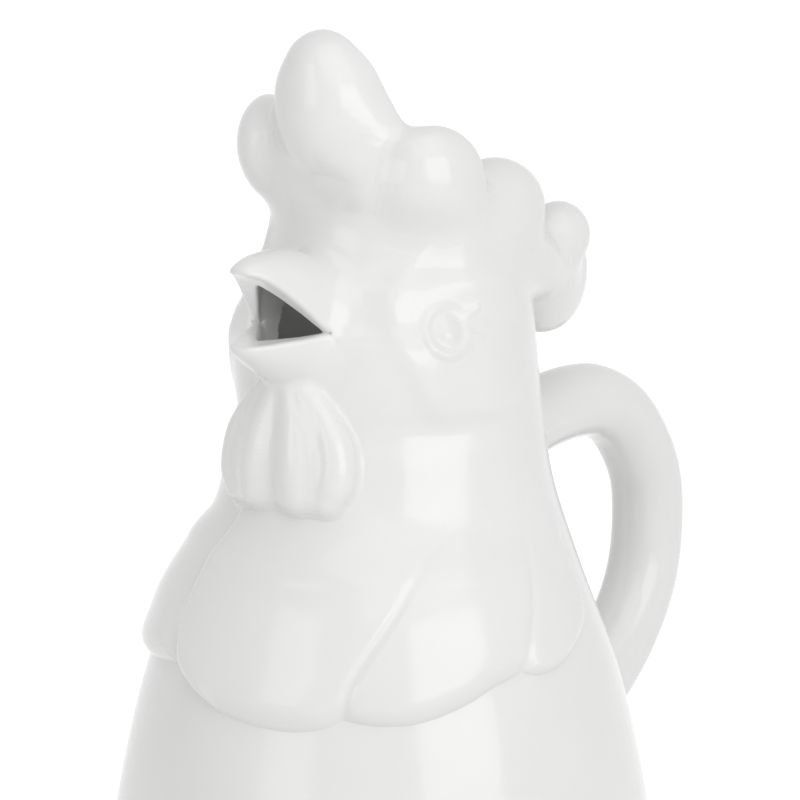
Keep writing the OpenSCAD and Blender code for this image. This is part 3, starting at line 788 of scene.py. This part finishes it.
# Lines of the hackle: turn and height. The breast line and the line under it begin alike
BREAST = [(-12, 131), (-18, 120), (-21.5, 111), (-23.8, 102), (-24.5, 94), (-23, 87.5)]
LINES = {
    "breast": BREAST + [(-18.5, 82), (-11, 77.4), (-3, 74.6)],
    "under": BREAST + [(-21, 82.6)],
    "front_hem": [(-3, 74.6), (8, 73.2), (17, 73.0), (24, 74.2), (29, 76.6)],
    "left_a": [(78, 131), (64, 118.5), (52, 113.5), (41, 100.2), (31, 86), (29, 76.6)],
    "left_hem": [(29, 76.6), (37, 75.4), (46.7, 75.8), (58, 79), (66.5, 82.4), (75, 84.6)],
    "left_b": [(97, 131), (91, 119), (87, 111), (82, 100), (77.5, 91), (75, 84.6)],
    "side_hem": [(75, 84.6), (80, 83.2), (86, 83.4), (92, 85), (98, 87.4)],
    "left_c": [(114, 131), (113, 118), (111.5, 106), (109.5, 98), (105.5, 91.4), (98, 87.4)],
    "far_hem": [(-21, 82.6), (-32, 80.6), (-45, 79.0), (-55, 79.0), (-66.5, 82), (-75, 84.6)],
}
for left, right in (("left_b", "right_b"), ("side_hem", "right_side_hem"), ("left_c", "right_c")):
    LINES[right] = [(-turn, z) for turn, z in LINES[left]]
# The two capes of feathers. Edges: border lines, each with the width of its rounding and its lead at
# the line. Pieces, and the creases between them, go by growing turn. At each of the turns a cape has a
# thickness, a height where it starts and a height where it is full
CAPES = [
    {"edges": [("breast", 8, 1.4), ("front_hem", 12, 0), ("left_hem", 10, 0), ("side_hem", 7, 0),
               ("left_c", 7, 0)],
     "pieces": ["hackle_front", "hackle_left_1", "hackle_left_2"], "creases": ["left_a", "left_b"],
     "turns": (-20, 30, 50, 80, 110), "thick": (5.0, 4.2, 3.9, 3.4, 2.8),
     "start": (130, 128, 126, 123, 117), "full": (97, 97, 97, 98, 96)},
    {"edges": [("under", 9, 0.5), ("far_hem", 8, 0), ("right_side_hem", 7, 0), ("right_c", 7, 0)],
     "pieces": ["hackle_right_2", "hackle_right_1"], "creases": ["right_b"],
     "turns": (-110, -80, -30), "thick": (3.0, 4.4, 4.5),
     "start": (114, 116, 115), "full": (90, 92, 94)},
]
# Depth of the creases as a share of the thickness, and their width
CREASE, CREASE_WIDTH = 0.18, 1.15
# Radius on which turns are laid out as lengths
CAPE_R = 55.0
# Heights over which the lead of a border sets in
LEAD_H = (76, 86)
# Outside its border a cape's edge goes on down with this slope, to this depth; over its start it sinks
EDGE_SLOPE, EDGE_DEPTH, START_SINK = 3, 0.4, 0.01
# Where the capes meet, their blending grows by this much between these thicknesses
MEET_BLEND, MEET_LEAST, MEET_THICK = 0.5, 0.01, (0.3, 1.2)
# Turns and heights of the grid that the hackle is made on, its step in degrees, and its step in height
# as a share of that
GRID_TURN, GRID_LOW, GRID_HIGH = 118, 71.5, 129
GRID_STEP, GRID_RISE = 0.45, 0.9
# How far the hackle stands out before it is seen
HACKLE_PROUD = 0.004


def laid_out(line):
    """A smooth line of turns and heights, with its turns as lengths."""
    line = spline(line, 6)
    return np.stack([np.radians(line[:, 0]) * CAPE_R, line[:, 1]], 1)


def to_line(flat, line):
    """Distance from each place to a line of straight parts."""
    d = np.full(len(flat), np.inf)
    for a, b in zip(line[:-1], line[1:]):
        ab = b - a
        t = np.clip((flat - a) @ ab / (ab @ ab), 0, 1)
        d = np.minimum(d, ((flat - a - t[:, None] * ab) ** 2).sum(1))
    return np.sqrt(d)


def within(flat, border):
    """Which places lie inside a closed border."""
    inside = np.zeros(len(flat), bool)
    x, y = flat[:, 0], flat[:, 1]
    for (x0, y0), (x1, y1) in zip(border, np.roll(border, -1, axis=0)):
        if y0 != y1:
            cross = (y0 > y) != (y1 > y)
            inside ^= cross & (x < x0 + (y - y0) * (x1 - x0) / (y1 - y0))
    return inside


def cape(flat, turn, height, row):
    """How far a cape stands out at each place of the wall, less than zero outside it, and its piece."""
    lines = [laid_out(LINES[key]) for key, width, lead in row["edges"]]
    border = np.vstack(lines[:-1] + [lines[-1][::-1]])
    inside = within(flat, border)
    gaps = np.array([to_line(flat, line) for line in lines])
    lift = smoothstep(*LEAD_H, height)
    x = np.array([(gap * np.where(inside, 1, -1) + lead * lift) / width
                  for gap, (_, width, lead) in zip(gaps, row["edges"])])
    rise = np.where(x > 0, 1 - (1 - np.clip(x, 0, 1)) ** 3, EDGE_SLOPE * x)
    rise = np.where(inside, rise.min(0), np.take_along_axis(rise, gaps.argmin(0)[None], 0)[0])
    piece = np.zeros(len(flat), int)
    for key in row["creases"]:
        upward = LINES[key][::-1]
        piece += turn > np.interp(height, [z for a, z in upward], [a for a, z in upward])
        away = to_line(flat, laid_out(LINES[key]))
        rise = rise * (1 - CREASE * np.exp(-(away / CREASE_WIDTH) ** 2))
    start, full, thick = (np.interp(turn, row["turns"], row[key]) for key in ("start", "full", "thick"))
    top = smoothstep(start, full, height)
    return np.maximum(thick * rise * top, -EDGE_DEPTH) - START_SINK * (1 - top), piece


def hackle():
    """The feathers as one relief laid over the seam, cut into its pieces along the creases."""
    turns = np.arange(-GRID_TURN, GRID_TURN + 0.01, GRID_STEP)
    heights = np.arange(GRID_LOW, GRID_HIGH, GRID_STEP * GRID_RISE)
    turn, height = (g.ravel() for g in np.meshgrid(turns, heights))
    flat = np.stack([np.radians(turn) * CAPE_R, height], 1)
    (front, front_piece), (far, far_piece) = (cape(flat, turn, height, row) for row in CAPES)
    names = CAPES[0]["pieces"] + CAPES[1]["pieces"]
    label = np.where(front >= far, front_piece, len(CAPES[0]["pieces"]) + far_piece)
    blend = MEET_LEAST + MEET_BLEND * smoothstep(*MEET_THICK, np.maximum(front, far))
    stand = smax(front, far, blend)
    r = radius(height) + relief(turn, height) + stand
    points = np.stack([r * np.sin(np.radians(turn)), -r * np.cos(np.radians(turn)), height], 1)
    grid = points.reshape(len(heights), len(turns), 3)
    normals = np.cross(np.gradient(grid, axis=1), np.gradient(grid, axis=0)).reshape(-1, 3)
    normals = normals / np.linalg.norm(normals, axis=1)[:, None]
    proud = stand > HACKLE_PROUD
    groups = [[] for name in names]
    n = len(turns)
    for i in range(len(heights) - 1):
        for j in range(n - 1):
            f = (i * n + j, i * n + j + 1, (i + 1) * n + j + 1, (i + 1) * n + j)
            if any(proud[v] for v in f):
                groups[label[f[0]]].append(f)
    for name, group in zip(names, groups):
        piece = closed_skin(name + "_glazed", points, normals, group, stand < BURIED, glaze)
        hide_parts(name)


belly()
head_shell()
head_sprigs()
handle_piece()
hackle()


# ---- studio ---------------------------------------------------------------------------------
# Camera: where it stands, the height that it looks at and how far right of the axis; lens and film
AZIMUTH, ELEVATION, DISTANCE = math.radians(38), math.radians(12), 1.0
AIM_H, AIM_RIGHT = 0.1426, 0.0045
LENS, SENSOR = 180.0, 36.0
# Softboxes: turn, height, distance from the axis, width and height, power; the height they aim at
LAMPS = {
    "key_right": (74, 0.42, 1.2, (0.83, 0.62), 3.3),
    "front_fill": (-5, 0.45, 1.3, (0.55, 0.7), 1.4),
    "overhead": (60, 1.3, 0.7, (1.5, 1.5), 4.9),
}
LAMP_AIM_H = 0.14
# Floor: half its side and its cells; gloss; glow that makes it white where it is seen
FLOOR_HALF, FLOOR_CELLS, FLOOR_ROUGHNESS, FLOOR_SPECULAR, FLOOR_GLOW = 6.0, 24, 0.7, 0.2, 0.45
# Strength of the world as light, and where it is seen
WORLD_LIGHT, WORLD_WHITE = 0.55, 1.0
scene = bpy.context.scene


def stand_at(piece, axes, origin):
    """Puts a camera or a lamp at a place, with its own axes along the given directions."""
    matrix = np.eye(4)
    matrix[:3, :3] = np.stack(axes, 1)
    matrix[:3, 3] = origin
    piece.matrix_world = Matrix(matrix.tolist())
    scene.collection.objects.link(piece)


def camera():
    """The camera of the reference view."""
    right = np.array([math.cos(AZIMUTH), math.sin(AZIMUTH), 0])
    back = np.array([math.sin(AZIMUTH) * math.cos(ELEVATION), -math.cos(AZIMUTH) * math.cos(ELEVATION),
                     math.sin(ELEVATION)])
    lens = bpy.data.cameras.new("camera")
    lens.lens, lens.sensor_width = LENS, SENSOR
    piece = bpy.data.objects.new("camera", lens)
    aim = np.array([0, 0, AIM_H]) + right * AIM_RIGHT
    stand_at(piece, (right, np.cross(back, right), back), aim + back * DISTANCE)
    scene.camera = piece


def softbox(name, turn, height, distance, size, power):
    """A rectangular lamp that faces the jug."""
    light = bpy.data.lights.new(name, "AREA")
    light.shape = "RECTANGLE"
    light.size, light.size_y = size
    light.energy = power
    origin = around(turn, distance, height)
    back = origin - np.array([0, 0, LAMP_AIM_H])
    back = back / np.linalg.norm(back)
    side = np.cross([0, 0, 1], back)
    side = side / np.linalg.norm(side)
    stand_at(bpy.data.objects.new(name, light), (side, np.cross(back, side), back), origin)


def ray_is(tree, *kinds):
    """1 for rays of the given kinds, and 0 for others."""
    ray = node(tree, "ShaderNodeLightPath")
    value = ray.outputs[kinds[0]]
    for kind in kinds[1:]:
        most = node(tree, "ShaderNodeMath", operation="MAXIMUM")
        tree.links.new(value, most.inputs[0])
        tree.links.new(ray.outputs[kind], most.inputs[1])
        value = most.outputs[0]
    return value


def joined(tree, kind, *values):
    """A shader node that takes the given values at its inputs, in their order."""
    made = node(tree, kind)
    for value, socket in zip(values, made.inputs):
        tree.links.new(value, socket)
    return made.outputs[0]


def floor():
    """A pale floor, which is white where the camera or a reflection shows it and keeps its shadow."""
    line = np.linspace(-FLOOR_HALF, FLOOR_HALF, FLOOR_CELLS + 1)
    n = len(line)
    faces = [(j * n + i, j * n + i + 1, (j + 1) * n + i + 1, (j + 1) * n + i)
             for j in range(FLOOR_CELLS) for i in range(FLOOR_CELLS)]
    material, tree, shader = new_material("pale_floor")
    shader.inputs["Roughness"].default_value = FLOOR_ROUGHNESS
    shader.inputs["Specular IOR Level"].default_value = FLOOR_SPECULAR
    place = node(tree, "ShaderNodeTexCoord")
    tone = ramp(tree, noise(tree, place, scale=1.5, detail=2.0), FLOOR_TONES)
    tree.links.new(tone, shader.inputs["Base Color"])
    glow = node(tree, "ShaderNodeEmission", Color=WHITE, Strength=FLOOR_GLOW)
    plain = shader.outputs[0]
    glowing = joined(tree, "ShaderNodeAddShader", plain, glow.outputs[0])
    seen = ray_is(tree, "Is Camera Ray", "Is Glossy Ray")
    shown = joined(tree, "ShaderNodeMixShader", seen, plain, glowing)
    tree.links.new(shown, tree.nodes["Material Output"].inputs[0])
    mesh = bpy.data.meshes.new("floor")
    mesh.from_pydata([(x, y, 0) for y in line for x in line], [], faces)
    mesh.materials.append(material)
    piece = bpy.data.objects.new("floor", mesh)
    scene.collection.objects.link(piece)


def world():
    """Even light from all round, and plain white where the world itself is seen."""
    made = bpy.data.worlds.new("studio")
    scene.world = made
    made.use_nodes = True
    tree = made.node_tree
    tree.nodes.clear()
    light, white = (node(tree, "ShaderNodeBackground", Color=WHITE, Strength=strength).outputs[0]
                    for strength in (WORLD_LIGHT, WORLD_WHITE))
    seen = ray_is(tree, "Is Camera Ray", "Is Glossy Ray", "Is Transmission Ray")
    out = node(tree, "ShaderNodeOutputWorld")
    tree.links.new(joined(tree, "ShaderNodeMixShader", seen, light, white), out.inputs[0])


camera()
floor()
world()
for name, values in LAMPS.items():
    softbox(name, *values)
scene.view_settings.view_transform = "Standard"
